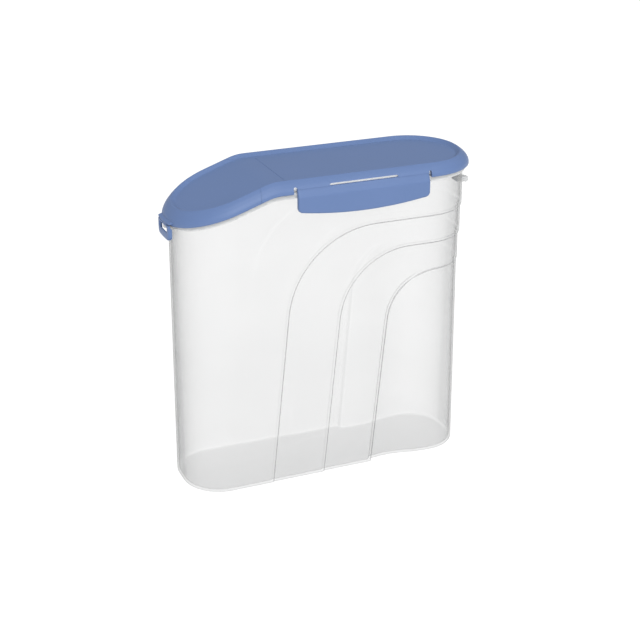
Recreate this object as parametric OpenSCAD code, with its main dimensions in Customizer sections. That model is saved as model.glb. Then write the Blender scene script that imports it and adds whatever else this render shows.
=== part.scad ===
// Cereal keeper: a translucent tub with a moulded lid, a flip-up spout flap
// and two side clips. All lengths are in millimetres, +Z is up and the tub
// stands on Z = 0. The origin is under the middle of the overall length.

/* [Tub] */
// Length of the tub at its mouth
tub_len = 246.6; // [200:0.2:300]
// Width of the tub at its mouth
mouth_w = 86.2; // [78:0.2:100]
// Width of the tub at its foot
base_w = 77; // [66:0.5:86]
// Height of the mouth above the surface it stands on, at the level part
mouth_z = 254.3; // [240:0.1:290]
// Corner radius of the plan at the mouth
mouth_r = 41.6; // [36:0.2:42]
// Corner radius of the plan at the foot
base_r = 32; // [24:0.5:36]
// Thickness of the tub's walls
wall = 1.4; // [1.2:0.1:2]
// Thickness of the tub's floor
floor_t = 1.8; // [1.2:0.1:3]
// Rounding between the walls and the floor
foot_round = 2.6; // [1.5:0.1:5]

/* [Tub collar and catches] */
// How far the collar stands out from the wall below the mouth
collar_out = 2.2; // [1.6:0.1:2.4]
// Height of the collar
collar_h = 4.4; // [3:0.1:6]
// Distance from the mouth down to the top of the collar
collar_down = 3.8; // [3.6:0.1:5]
// Width of the two catch lugs at the tub's ends
lug_w = 9; // [6:0.5:12]
// Thickness of the lugs at their tips
lug_t = 2.6; // [2:0.1:4]
// How far the long lug at the level end stands out from the tub
lug_out = 11.5; // [8:0.1:15]
// How far the short lug under the spout stands out from the tub
spout_lug_out = 6.2; // [5:0.1:6.4]
// Distance from the lid's rim down to the top of a lug
lug_down = 16.6; // [15:0.1:24]

/* [Stepped panels] */
// Depth of the first sweeping step
step_1 = 1; // [0.5:0.1:1.5]
// Depth of the second sweeping step
step_2 = 1.3; // [0.5:0.1:1.5]
// Where the three steps start at the foot, from the middle of the tub
sweep_foot = [-55.9, -10.4, 33.7];
// Height of the level part of each step
sweep_top = [216, 192.5, 168.8];
// Radius of each step's bend
sweep_r = [75, 60, 43];
// Lean of the rising part of the steps, in degrees
sweep_lean = 5.4; // [3:0.1:8]
// Depth of the finger scoop at the foot
scoop_depth = 5.9; // [3:0.1:7]
// Radius of the scoop
scoop_r = 76; // [60:1:100]
// Distance from the foot of the third step to the deepest line of the scoop
scoop_run = 15.7; // [12:0.1:20]
// Tilt of the scoop, which makes it shallower upwards, in degrees
scoop_tilt = 1.5; // [1:0.1:2]

/* [Lid] */
// Gap between two parts that fit or move past each other
gap = 0.3; // [0.2:0.05:0.5]
// How far the lid's rim stands out past the tub's mouth
overhang = 4.9; // [4.7:0.1:5.4]
// Height of the lid's rim from its lower edge to its top
rim_h = 9.8; // [9:0.1:12]
// Height of the rim's top above the mouth's seat in the lid
rim_rise = 5.4; // [4.6:0.1:7]
// How far the rim's outer face leans in over its height
rim_lean = 6.8; // [6:0.1:7.4]
// Thickness of the rim's skirt
skirt_t = 1.8; // [1.4:0.1:2]
// Depth of the deck below the top of the rim
deck_down = 2.6; // [2:0.1:3]
// Thickness of the deck
deck_t = 1.6; // [1.2:0.1:2]
// Thickness of the plug skirt inside the mouth
plug_t = 1.2; // [1:0.1:1.6]
// How far the lid's plug skirt reaches into the mouth
plug_depth = 7; // [4:0.1:9]

/* [Spout] */
// Distance from the tub's end to where its mouth starts to slope down
slope_run = 68.5; // [60:0.5:80]
// Angle at which the mouth, the collar and the lid slope down
slope = 19; // [14:0.5:22]
// Radius of the bend into the slope
bend_r = 40; // [25:1:60]
// Distance from the tub's end to the flap's fold line
fold_run = 82; // [78:0.5:95]
// Length of the flap's fold line
fold_w = 64; // [50:1:66]
// Distance from the tub's end to the cut across the rim, at the rim's top
cut_run = 59.3; // [50:0.1:62]
// Lean of the cut across the rim, in degrees
cut_lean = 11; // [6:1:16]
// Depth of the sealing lip under the flap
lip_depth = 2.5; // [1.5:0.1:3]
// How far the flap's lip stays away from the tub's wall
lip_clear = 1.4; // [1.3:0.1:2.4]

/* [Latch tab] */
// Width of the latch tab
tab_w = 27; // [20:0.5:32]
// Height of the latch tab
tab_h = 12.4; // [11:0.1:16]
// Thickness of the tab's plate
tab_t = 1.6; // [1.2:0.1:2]
// How far the tab's face stands out past the lid's rim
tab_out = 2; // [1.8:0.1:3]
// Radius of the tab's face, in plan
tab_face_r = 44; // [38:1:60]
// Radius of the tab's lower corners
tab_corner = 4; // [2:0.5:5]
// Depth of the tab's side flanges
tab_flange = 3; // [2.4:0.1:3.4]
// Width of the window for the catch lug
window_w = 19; // [14:0.5:21]
// Height of the window
window_h = 5.2; // [4.6:0.1:6]

/* [Clips] */
// Length of a clip
clip_len = 111.8; // [80:0.2:130]
// Distance from the middle of the tub to the middle of the clip
clip_x = 19.2; // [10:0.1:25]
// How far a clip's face stands out past the lid's rim
clip_out = 1.9; // [1.6:0.1:2.4]
// Thickness of a clip
clip_t = 1.8; // [1.4:0.1:2]
// Distance from the rim's top down to a clip's hinge
hinge_down = 5.6; // [5.4:0.1:6]
// Height of a clip from its hinge to its lower corners
clip_h = 19.4; // [16:0.1:22]
// How far the lower edge is bowed down between its corners
clip_bow = 4; // [0:0.1:6]
// Radius of a clip's lower corners
clip_corner = 4; // [2:0.5:6]
// Length of the slot between the hinge's two webs
slot_len = 57.6; // [40:0.2:80]
// Height of the slot
slot_h = 2.2; // [1.6:0.1:2.6]
// Gap beside the clip towards the spout
notch_left = 4.4; // [2:0.1:6]
// Gap beside the clip towards the level end
notch_right = 2.6; // [2:0.1:6]
// How far a clip's catch reaches in under the collar
catch_in = 0.8; // [0.5:0.1:1.2]
// Height of the catch
catch_h = 2.4; // [1.8:0.1:3]
// Length of each of the two catches on a clip
catch_len = 30; // [20:1:40]

/* [Hinge webs] */
// Radius of the round webs that the flap and the clips fold on
web_r = 0.45; // [0.35:0.05:0.6]
// Half the width of the fold's groove at the surface
fold_gap = 0.95; // [0.8:0.05:1.2]

/* [Hidden] */
big = 400;
below = 20;
skin = 0.02;
$fn = 72;

tub_end = tub_len/2;
mouth_half = mouth_w/2;
base_half = base_w/2;
rim_half = mouth_half + overhang;
rim_end = tub_end + overhang;
rim_r = mouth_r + overhang;
seat_z = mouth_z + gap;
rim_top = seat_z + rim_rise;
rim_low = rim_top - rim_h;
deck_z = rim_top - deck_down;
tab_reach = overhang + tab_out;
tub_x = (tab_reach - lug_out)/2;

// The bend where the mouth and the lid start to slope down
bend_x = -tub_end + slope_run;
bend_right = bend_x + bend_r*tan(slope/2);
bend_left = bend_right - bend_r*sin(slope);
bend_steps = 6;
sweep_steps = 24;
form_above = 40;
bend_xs = [for (i = [0:bend_steps]) bend_right - (bend_right - bend_left)*i/bend_steps];

// How far the mouth and the lid have dropped at x
function drop(x) = x >= bend_right ? 0
    : x <= bend_left ? (bend_x - x)*tan(slope)
    : bend_r - sqrt(pow(bend_r, 2) - pow(bend_right - x, 2));

// The tub's collar, and how far in the web's seat and a folding edge stay from the axis
collar_top = mouth_z - collar_down;
collar_low = collar_top - collar_h;
seat_back = 0.2;
edge_back = web_r + gap;

// The rim: the lean of its outer face and the rounding along its top
rim_slope = rim_lean/rim_h;
rim_angle = atan(rim_slope);
rim_round = 0.6;
ridge_w = 0.9;
ridge_inner = rim_lean + 5.2;
deck_in = ridge_inner - 2;
plug_in = overhang + wall + gap + plug_t;

// The fold, the cut across the rim and the wall behind the spout
fold_x = -tub_end + fold_run;
fold_z = deck_z - web_r;
cut_x = -tub_end + cut_run;
flap_half = rim_half - plug_in - gap;
wall_back = 3;

// The latch tab and the two lugs
rim_drop = drop(-rim_end);
tab_face = -rim_end - tab_out;
tab_axis_x = tab_face + 1.3;
tab_axis_z = rim_low - rim_drop + 1.6;
tab_top = tab_axis_z - edge_back;
tab_low = tab_top - tab_h;
tab_bevel = 0.9;
tab_web_inset = 5.5;
tab_web_len = tab_w - 2*tab_web_inset;
tab_relief = tab_t*0.7;
shoulder_h = 3.4;
shoulder_in = 4.6;
shoulder_relief = 1.2;
window_low = tab_top - 1.5 - window_h;
lug_top = rim_low - lug_down;
lug_taper = 1.6;
spout_lug_top = window_low + window_h - 0.8;

// The clips: where they fold, and their face, flanges and catches
hinge_z = rim_top - hinge_down;
hinge_y = rim_half - (hinge_z - rim_low)*rim_slope;
web_y = hinge_y - web_r*cos(rim_angle);
web_z = hinge_z - web_r*sin(rim_angle);
clip_face = rim_half + clip_out;
clip_left = clip_x - clip_len/2;
clip_right = clip_x + clip_len/2;
clip_low = hinge_z - clip_h;
face_low = clip_low - clip_bow;
knee_z = rim_low - clip_out/rim_slope;
knee_round = 0.8;
bow_r = (pow(clip_len/2 - clip_corner, 2) + pow(clip_bow, 2))/(2*clip_bow);
flange_t = 1.5;
flange_in = 3.2;
catch_y = mouth_half + collar_out - catch_in;
skirt_left = clip_left - notch_left;
skirt_right = clip_right + notch_right;
notch_down = 3.8;
slot_y = rim_half - plug_in + 1.2;

// Half the width and the corner radius of the tub's outside at height z
function half_at(z) = base_half + (mouth_half - base_half)*z/mouth_z;
function radius_at(z) = base_r + (mouth_r - base_r)*z/mouth_z;

// A rectangle with round corners, 2*x_half by 2*y_half
module rounded(x_half, y_half, r) {
    square([2*(x_half - r), 2*y_half], center = true);
    square([2*x_half, 2*(y_half - r)], center = true);
    for (sx = [-1, 1], sy = [-1, 1])
        translate([sx*(x_half - r), sy*(y_half - r)]) circle(r);
}

// One thin level slice of the tub's outside, moved in by inset
module slice(z, inset) {
    translate([0, 0, z]) linear_extrude(skin)
        rounded(tub_end - inset, half_at(z) - inset, radius_at(z) - inset, $fn = 64);
}

// The tub's tapered form from z_low to well above the mouth, moved in by inset
module form(inset, z_low) {
    hull() {
        slice(z_low, inset + foot_round*0.6);
        slice(z_low + foot_round*0.3, inset + foot_round*0.2);
        slice(z_low + foot_round, inset);
        slice(mouth_z + form_above, inset);
    }
}

// A slab across the whole width between two heights that follow the slope
module sloped_slab(z_low, z_high, x_left, x_right) {
    xs = concat([x_right], bend_xs, [x_left]);
    upper = [for (x = xs) [x, z_high - drop(x)]];
    lower = [for (i = [len(xs) - 1:-1:0]) [xs[i], z_low - drop(xs[i])]];
    rotate([90, 0, 0]) linear_extrude(big, center = true) polygon(concat(upper, lower));
}

// The panel behind step k: it rises from the foot, bends and runs level to the end
module sweep(k, grow) {
    r = sweep_r[k] + grow;
    top = sweep_top[k] + grow;
    foot = sweep_foot[k] - grow/cos(sweep_lean);
    centre = [foot + (top - r)*tan(sweep_lean) + r/cos(sweep_lean), top - r];
    low = -foot_round;
    arc = [for (i = [0:sweep_steps])
        let (a = 180 - sweep_lean - (90 - sweep_lean)*i/sweep_steps)
        centre + r*[cos(a), sin(a)]];
    rotate([90, 0, 0]) linear_extrude(big, center = true)
        polygon(concat([[foot + low*tan(sweep_lean), low]], arc, [[big/2, top], [big/2, low]]));
}

// The finger scoop behind the third step, on both sides of the tub
module scoops(grow) {
    start_y = base_half - step_1 - step_2 - scoop_depth + scoop_r;
    intersection() {
        sweep(2, grow);
        for (side = [-1, 1])
            translate([sweep_foot[2] + scoop_run, side*start_y, 0])
                rotate([-side*scoop_tilt, 0, 0])
                    translate([0, 0, -below]) cylinder(r = scoop_r + grow, h = big, $fn = 144);
    }
}

// The tub's outer skin, or its cavity when it is moved in by the wall
module stepped_form(inset, z_low) {
    difference() {
        form(inset, z_low);
        difference() {
            sweep(0, inset);
            form(inset + step_1, z_low);
        }
        difference() {
            sweep(1, inset);
            form(inset + step_1 + step_2, z_low);
        }
        scoops(inset);
    }
}

// A tongue that stands out from an end of the tub, its top falling by taper
module lug(reach, top, taper) {
    intersection() {
        rotate([90, 0, 0]) linear_extrude(lug_w, center = true)
            polygon([[-wall/2, top], [reach, top - taper], [reach, top - taper - lug_t],
                     [-wall/2, top - taper - lug_t - 0.4]]);
        translate([0, 0, top - below]) linear_extrude(2*below) {
            translate([-big/2 + reach - lug_w/2, 0]) square([big, lug_w], center = true);
            translate([reach - lug_w/2, 0]) circle(d = lug_w);
        }
    }
}

// The lid's rim as [distance in from its lower outer edge, height] points
rim_section = [
    [0, rim_low], [rim_lean - rim_round*rim_slope, rim_top - rim_round],
    [rim_lean + rim_round/2, rim_top], [rim_lean + rim_round + ridge_w/2, rim_top],
    [rim_lean + rim_round + ridge_w, rim_top - rim_round/2],
    [ridge_inner, deck_z - deck_t/2], [ridge_inner - rim_round, deck_z - deck_t*2/3],
    [plug_in, deck_z - deck_t*2/3], [plug_in, seat_z],
    [overhang - gap, seat_z], [skirt_t, rim_low]];

// The tub's collar as [distance in from the rim's lower outer edge, height] points
collar_section = [
    [overhang - collar_out, collar_low], [overhang - collar_out, collar_top],
    [overhang + wall/2, collar_top], [overhang + wall/2, collar_low]];

// A plug skirt as [distance in, height] points, with its lower outer edge cut off
function plug_section(clear, depth) =
    let (outer = overhang + wall + clear, low = mouth_z - depth, bevel = plug_t/2,
         top = deck_z - deck_t/3)
    [[outer, low + bevel], [outer, top], [outer + plug_t, top],
     [outer + plug_t, low], [outer + bevel, low]];

// Stations round the rim, each [x, y, direction outwards]
corner_steps = 15;
function corner(side_x, side_y, a_first, a_last) = [for (i = [0:corner_steps])
    let (a = a_first + (a_last - a_first)*i/corner_steps)
    [side_x*(rim_end - rim_r) + rim_r*cos(a), side_y*(rim_half - rim_r) + rim_r*sin(a), a]];
rim_stations = concat(
    [for (x = bend_xs) [x, -rim_half, -90]],
    corner(-1, -1, 270, 180), corner(-1, 1, 180, 90),
    [for (i = [bend_steps:-1:0]) [bend_xs[i], rim_half, 90]],
    corner(1, 1, 90, 0), corner(1, -1, 0, -90));

// Carries a section all round the rim, dropped to follow the mouth
module rim_ring(section) {
    n = len(rim_stations);
    m = len(section);
    points = [for (s = rim_stations, p = section)
        let (x = s[0] - p[0]*cos(s[2]), y = s[1] - p[0]*sin(s[2])) [x, y, p[1] - drop(x)]];
    sides = [for (i = [0:n - 1], j = [0:m - 1])
        let (a = i*m + j, b = i*m + (j + 1)%m, c = (i + 1)%n*m + j, d = (i + 1)%n*m + (j + 1)%m)
        each [[a, c, b], [b, c, d]]];
    polyhedron(points, sides);
}

// The whole rim and deck, before the flap is parted from the lid
module whole_lid() {
    rim_ring(rim_section);
    intersection() {
        sloped_slab(deck_z - deck_t, deck_z, -big/2, big/2);
        linear_extrude(big) rounded(rim_end - deck_in, rim_half - deck_in, rim_r - deck_in);
    }
}

// A round bar along Y, centred on the origin
module bar_y(r, length) {
    rotate([90, 0, 0]) cylinder(r = r, h = length, center = true, $fn = 32);
}

// Everything to the spout's side of the cut across the rim
module past_the_cut(grow) {
    translate([cut_x + grow, 0, rim_top]) rotate([0, cut_lean, 0])
        translate([-big/2, 0, 0]) cube([big, big, big/2], center = true);
}

// The space that the flap fills: the sloped end, and a panel that narrows to the fold
module flap_space(grow) {
    past_the_cut(grow);
    half = fold_w/2 + grow;
    wide = flap_half + grow;
    linear_extrude(big)
        polygon([[fold_x, -half], [fold_x, half], [cut_x, wide], [-big/2, wide],
                 [-big/2, -wide], [cut_x, -wide]]);
}

// Room for the fold's web in an edge that stays back by edge at the web's height
module fold_groove(edge) {
    rotate([90, 0, 0]) linear_extrude(fold_w + 4*gap, center = true)
        polygon([[-skin, web_r + skin], [fold_gap, web_r + skin], [edge, 0],
                 [edge, -2*deck_t], [-skin, -2*deck_t]]);
}

// The wall under the lid that closes off the mouth behind the flap
module cross_wall() {
    reach = mouth_half - wall - gap - plug_t/2;
    translate([fold_x + wall_back, -reach, mouth_z - plug_depth])
        cube([plug_t, 2*reach, plug_depth + deck_z - deck_t*0.4 - mouth_z]);
}

// A profile of [y, z] points carried along X, on the back of the object
module along_x(x_low, x_high, profile) {
    translate([x_low, 0, 0]) rotate([90, 0, 90]) linear_extrude(x_high - x_low) polygon(profile);
}

// A point near a clip's hinge: down the slope of the rim, and out from its face
function hinge_point(down, out) = [
    web_y + down*sin(rim_angle) + out*cos(rim_angle),
    web_z - down*cos(rim_angle) + out*sin(rim_angle)];

// What the back clip takes out of the lid: the skirt, two notches and half the slot
module clip_opening() {
    along_x(skirt_left, skirt_right, [
        hinge_point(-edge_back, big/4), hinge_point(-edge_back, web_r),
        hinge_point(-seat_back, 0), hinge_point(-seat_back, web_r - skirt_t),
        [mouth_half + gap/2, rim_low - skirt_t], [big/2, rim_low - skirt_t]]);
    notch(skirt_left, clip_left);
    notch(clip_right, skirt_right);
    hinge_slot();
}

// A round-topped notch in the rim beside a clip
module notch(x_low, x_high) {
    r = (x_high - x_low)/2;
    translate([x_low + r, big/2, rim_top - notch_down - r]) rotate([90, 0, 0])
        linear_extrude(big/2 - slot_y) {
            circle(r);
            translate([-r, -rim_h]) square([2*r, rim_h]);
        }
}

// The long slot between the two hinge webs
module hinge_slot() {
    r = slot_h/2;
    translate([clip_x, big/2, hinge_z]) rotate([90, 0, 0]) linear_extrude(big/2 - slot_y) {
        square([slot_len - slot_h, slot_h], center = true);
        for (side = [-1, 1]) translate([side*(slot_len/2 - r), 0]) circle(r);
    }
}

// The two round webs that a back clip folds on
module clip_webs() {
    web_len = (clip_len - slot_len)/2;
    for (x = [clip_left, clip_right - web_len])
        translate([x, web_y, web_z]) rotate([0, 90, 0]) cylinder(r = web_r, h = web_len, $fn = 32);
}

// The clip seen from its face: straight sides, round corners and a bowed lower edge
module clip_outline() {
    flat = clip_len - 2*clip_corner;
    translate([clip_x, big/2, 0]) rotate([90, 0, 0]) linear_extrude(big/2) {
        translate([-clip_len/2, clip_low + clip_corner]) square([clip_len, clip_h]);
        translate([-flat/2, clip_low]) square([flat, clip_h]);
        for (side = [-1, 1])
            translate([side*flat/2, clip_low + clip_corner]) circle(clip_corner);
        intersection() {
            translate([0, face_low + bow_r]) circle(bow_r, $fn = 360);
            translate([-flat/2, face_low]) square([flat, clip_bow + skin]);
        }
    }
}

// A back clip: a panel that leans out with the rim, then hangs straight down
module clip() {
    below = face_low - clip_t;
    inner = clip_face - clip_t;
    hook = collar_low - gap;
    difference() {
        intersection() {
            union() {
                along_x(clip_left, clip_right, [
                    hinge_point(edge_back, web_r),
                    [clip_face - knee_round*rim_slope, knee_z + knee_round],
                    [clip_face, knee_z - knee_round], [clip_face, below], [inner, below],
                    [inner, knee_z - clip_t*tan(rim_angle/2)],
                    hinge_point(edge_back, web_r - clip_t)]);
                for (x = [clip_left, clip_right - flange_t])
                    along_x(x, x + flange_t, [
                        hinge_point(edge_back + clip_t, web_r - clip_t/2),
                        [clip_face - clip_t/2, knee_z], [clip_face - clip_t/2, below],
                        [clip_face - flange_in, below], [clip_face - flange_in, knee_z]]);
            }
            clip_outline();
        }
        hinge_slot();
    }
    for (side = [-1, 1])
        along_x(clip_x + side*clip_len/4 - catch_len/2, clip_x + side*clip_len/4 + catch_len/2, [
            [inner + clip_t/2, hook], [catch_y, hook], [catch_y, hook - catch_h/2],
            [inner, hook - catch_h - clip_t/2], [inner + clip_t/2, hook - catch_h - clip_t/2]]);
}

// A profile of [radius, height] points carried round the latch tab's curved face
module round_face(profile) {
    translate([tab_face + tab_face_r, 0, 0]) rotate_extrude($fn = 144) polygon(profile);
}

// The tab seen from its face: a square top and round lower corners
module tab_outline(width, corner, low) {
    flat = width - 2*corner;
    translate([tab_face + tab_face_r/2, 0, 0]) rotate([90, 0, -90]) linear_extrude(tab_face_r) {
        translate([-width/2, low + corner]) square([width, tab_h]);
        translate([-flat/2, low]) square([flat, tab_h]);
        for (side = [-1, 1]) translate([side*flat/2, low + corner]) circle(corner);
    }
}

// The shoulder on the flap's rim that the latch tab hangs from
module tab_shoulder() {
    low = tab_axis_z + seat_back;
    inner = tab_face_r - shoulder_in;
    intersection() {
        round_face([[inner, low + shoulder_relief], [inner + shoulder_relief, low],
                    [tab_face_r - tab_bevel, low], [tab_face_r, low + tab_bevel],
                    [tab_face_r - rim_round, low + shoulder_h/2], [inner, low + shoulder_h]]);
        translate([tab_face, -tab_w/2, low]) cube([tab_face_r/2, tab_w, shoulder_h]);
    }
}

module tub() {
    color([0.93, 0.94, 0.95, 0.55]) translate([tub_x, 0, 0])
        difference() {
            union() {
                intersection() {
                    stepped_form(0, 0);
                    sloped_slab(-mouth_z, mouth_z, -big/2, big/2);
                }
                rim_ring(collar_section);
                translate([tub_end, 0, 0]) lug(lug_out, lug_top, lug_taper);
                translate([-tub_end, 0, 0]) mirror([1, 0, 0])
                    lug(spout_lug_out, spout_lug_top, 0);
            }
            stepped_form(wall, floor_t);
        }
}

module lid() {
    color([0.42, 0.50, 0.67]) translate([tub_x, 0, 0])
        difference() {
            union() {
                difference() {
                    union() {
                        whole_lid();
                        intersection() {
                            rim_ring(plug_section(gap, plug_depth));
                            translate([fold_x + wall_back, -big/2, 0]) cube([big, big, big]);
                        }
                    }
                    flap_space(gap);
                }
                cross_wall();
            }
            translate([fold_x, 0, fold_z]) fold_groove(seat_back);
            translate([fold_x, 0, fold_z]) bar_y(web_r, fold_w);
            for (front = [0, 1]) mirror([0, front, 0]) {
                clip_opening();
                clip_webs();
            }
        }
}

module spout_flap() {
    color([0.42, 0.50, 0.67]) translate([tub_x, 0, 0])
        difference() {
            union() {
                intersection() {
                    whole_lid();
                    flap_space(0);
                }
                intersection() {
                    rim_ring(plug_section(lip_clear, lip_depth));
                    past_the_cut(-gap);
                }
                tab_shoulder();
            }
            translate([fold_x, 0, fold_z]) mirror([1, 0, 0]) fold_groove(edge_back);
            translate([tab_axis_x, 0, tab_axis_z]) bar_y(web_r, tab_web_len);
        }
}

module spout_hinge() {
    color([0.50, 0.58, 0.74]) translate([tub_x + fold_x, 0, fold_z]) bar_y(web_r, fold_w);
}

module latch_tab() {
    plate_in = tab_face_r - tab_t;
    flange_in = tab_face_r - tab_flange;
    middle = tab_face_r - tab_t/2;
    flange_top = rim_low - rim_drop - gap;
    color([0.38, 0.46, 0.66]) translate([tub_x, 0, 0])
        difference() {
            intersection() {
                union() {
                    round_face([[plate_in, tab_low], [tab_face_r, tab_low],
                                [tab_face_r, tab_top - tab_bevel], [middle, tab_top],
                                [plate_in, tab_top - tab_relief]]);
                    difference() {
                        round_face([[flange_in, tab_low], [middle, tab_low],
                                    [middle, flange_top], [flange_in, flange_top]]);
                        tab_outline(tab_w - 2*tab_t, tab_corner - tab_t, tab_low + tab_t);
                    }
                }
                tab_outline(tab_w, tab_corner, tab_low);
            }
            translate([-big/2, -window_w/2, window_low]) cube([big/2, window_w, window_h]);
        }
}

module latch_hinge() {
    color([0.50, 0.58, 0.74]) translate([tub_x + tab_axis_x, 0, tab_axis_z]) bar_y(web_r, tab_web_len);
}

module front_clip() {
    color([0.40, 0.49, 0.68]) translate([tub_x, 0, 0]) mirror([0, 1, 0]) clip();
}

module front_clip_hinge() {
    color([0.50, 0.58, 0.74]) translate([tub_x, 0, 0]) mirror([0, 1, 0]) clip_webs();
}

module back_clip() {
    color([0.40, 0.49, 0.68]) translate([tub_x, 0, 0]) clip();
}

module back_clip_hinge() {
    color([0.50, 0.58, 0.74]) translate([tub_x, 0, 0]) clip_webs();
}

tub();
lid();
spout_flap();
spout_hinge();
latch_tab();
latch_hinge();
front_clip();
front_clip_hinge();
back_clip();
back_clip_hinge();
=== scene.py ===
import math

import bmesh
import bpy
import numpy as np
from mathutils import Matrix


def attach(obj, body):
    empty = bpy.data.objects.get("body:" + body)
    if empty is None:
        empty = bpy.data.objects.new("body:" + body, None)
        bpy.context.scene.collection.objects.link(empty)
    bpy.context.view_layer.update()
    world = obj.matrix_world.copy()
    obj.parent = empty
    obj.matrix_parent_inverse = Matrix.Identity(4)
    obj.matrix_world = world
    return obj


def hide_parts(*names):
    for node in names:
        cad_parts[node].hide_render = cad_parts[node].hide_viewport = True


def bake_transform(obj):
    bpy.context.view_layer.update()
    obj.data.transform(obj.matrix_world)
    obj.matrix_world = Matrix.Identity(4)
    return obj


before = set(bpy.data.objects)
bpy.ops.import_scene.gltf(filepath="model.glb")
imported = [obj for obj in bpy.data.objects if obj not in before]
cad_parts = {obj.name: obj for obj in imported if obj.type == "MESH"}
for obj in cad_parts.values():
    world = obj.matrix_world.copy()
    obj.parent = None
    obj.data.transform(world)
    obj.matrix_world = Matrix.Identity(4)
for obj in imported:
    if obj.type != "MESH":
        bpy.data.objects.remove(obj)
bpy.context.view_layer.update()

# ---------------------------------------------------------------- studio
# A seamless pale table under even white light, as in a catalogue studio. The camera looks at
# the front and the spout end from above, through a short telephoto lens.
camera_yaw = math.radians(22.72)
camera_pitch = math.radians(22.67)
half_pixel = 0.5 / 640  # of a render 640 wide

scene = bpy.context.scene
camera = bpy.data.objects.new("camera", bpy.data.cameras.new("camera"))
scene.collection.objects.link(camera)
camera.location = (-0.42864, -1.02283, 0.59043)
camera.rotation_euler = (math.pi / 2 - camera_pitch, 0, -camera_yaw)
camera.data.sensor_width = 36
camera.data.lens = 81.55
camera.data.shift_x = -half_pixel
camera.data.shift_y = half_pixel
camera.data.clip_start = 0.05
camera.data.clip_end = 60
bpy.context.scene.camera = camera


def linear(colour):
    """An sRGB hex colour as linear RGBA: each channel c becomes ((c + 0.055) / 1.055) ** 2.4, or
    c / 12.92 where it is near black."""
    channels = [int(colour[i : i + 2], 16) / 255 for i in (1, 3, 5)]
    return [((c + 0.055) / 1.055) ** 2.4 if c > 0.04 else c / 12.92 for c in channels] + [1]


def add_node(tree, kind, inputs=None, **settings):
    """Adds one shader node, with its settings, and sets or links the inputs that are named."""
    node = tree.nodes.new(kind)
    for key, value in settings.items():
        setattr(node, key, value)
    for key, value in (inputs or {}).items():
        if isinstance(value, bpy.types.NodeSocket):
            tree.links.new(value, node.inputs[key])
        else:
            node.inputs[key].default_value = value
    return node


def new_material(name):
    """An empty node material and its node tree."""
    material = bpy.data.materials.new(name)
    material.use_nodes = True
    material.node_tree.nodes.clear()
    return material, material.node_tree


def show(tree, shader):
    """Sends a shader to the material's output."""
    add_node(tree, "ShaderNodeOutputMaterial", {"Surface": shader})


# White walls and ceiling. Their light is the dot product of a direction with this lean, plus a
# level, so it is strongest above and a little stronger at the front and at the spout end.
room_lean, room_level = (-0.05, -0.06, 0.28), 0.41
scene.view_settings.view_transform = "Standard"
scene.world = bpy.data.worlds.new("white_room")
scene.world.use_nodes = True
room = scene.world.node_tree
where = add_node(room, "ShaderNodeTexCoord")
toward = add_node(room, "ShaderNodeVectorMath", {0: where.outputs["Generated"], 1: room_lean},
                  operation="DOT_PRODUCT")
bright = add_node(room, "ShaderNodeMath", {0: toward.outputs["Value"], 1: room_level}, operation="ADD")
room.links.new(bright.outputs[0], room.nodes["Background"].inputs["Strength"])
room.nodes["Background"].inputs["Color"].default_value = (1, 1, 1, 1)

# One very large, far softbox in front and above
softbox = bpy.data.objects.new("front_softbox", bpy.data.lights.new("front_softbox", "SUN"))
softbox.data.energy = 2.45
softbox.data.angle = math.radians(50)
softbox.rotation_euler = (math.radians(48), 0, math.radians(-8))
scene.collection.objects.link(softbox)

# An opal acrylic light table: it glows evenly from below, so that no shadow is left on it, with a
# faint mottle of the satin sheet. It lies 0.1 mm under the foot, because faces at one height
# shade each other. A noise's scale is 1000 over the width of its cells in mm.
table_half, table_z = 14, -0.0001
mottle_mm = 111.1
table_material, tree = new_material("opal_acrylic_light_table")
where = add_node(tree, "ShaderNodeTexCoord")
mottle = add_node(tree, "ShaderNodeTexNoise",
                  {"Vector": where.outputs["Object"], "Scale": 1000 / mottle_mm})
tint = add_node(tree, "ShaderNodeMix", {"Factor": mottle.outputs["Fac"]}, data_type="RGBA")
tint.inputs[6].default_value = linear("#fafafa")
tint.inputs[7].default_value = linear("#ffffff")
shader = add_node(tree, "ShaderNodeBsdfPrincipled",
                  {"Base Color": linear("#707070"), "Roughness": 0.85, "Specular IOR Level": 0.1,
                   "Emission Color": tint.outputs[2], "Emission Strength": 0.93})
show(tree, shader.outputs[0])
table_mesh = bpy.data.meshes.new("table")
table_mesh.from_pydata([(x * table_half, y * table_half, table_z)
                        for x, y in ((-1, -1), (1, -1), (1, 1), (-1, 1))], [], [(0, 1, 2, 3)])
table_mesh.materials.append(table_material)
table = bpy.data.objects.new("table", table_mesh)
scene.collection.objects.link(table)

# ---------------------------------------------------------------- tub
# The food tub: a thin-walled polypropylene moulding with three sweeping steps on its sides and a
# finger scoop behind the third. The clips hook under its collar and the latch tab over a short
# lug, and a longer lug stands out at the level end.
tub_x = -2.3  # middle of the tub, from which x is measured in mm in all that follows
tub_end = 123.3
tub_wall, tub_floor = 1.4, 1.8
mouth_z = 254.3
foot_half, mouth_half = 38.5, 43.1
foot_r, mouth_r = 32.0, 41.6
foot_round, inner_round = 2.6, 2.0
# The mouth and the lid slope down toward the spout, past a round bend
slope = math.radians(19)
bend_r = 40.0
bend_left, bend_right = -61.129, -48.106
# Each step: where its line meets the table, its level height, its arc, how deep and wide it is,
# and how strongly the painted shade line along its edge shows
step_foot = [-55.9, -10.4, 33.7]
step_top = [216.0, 192.5, 168.8]
step_r = [75.0, 60.0, 43.0]
step_depth = [1.0, 1.3, 0.65]
step_wide = [1.0, 1.0, 1.5]
step_shade = [0.85, 1.0, 0.6]
step_lean = math.radians(5.4)
ramp_half, shade_half = 0.55, 0.8
inner_soft = 2.6
scoop_depth, scoop_r, scoop_x, scoop_reach = 5.9, 76.0, 49.4, 60
scoop_fade, scoop_blend, scoop_cut = 0.0081, 0.8, 0.12


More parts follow.
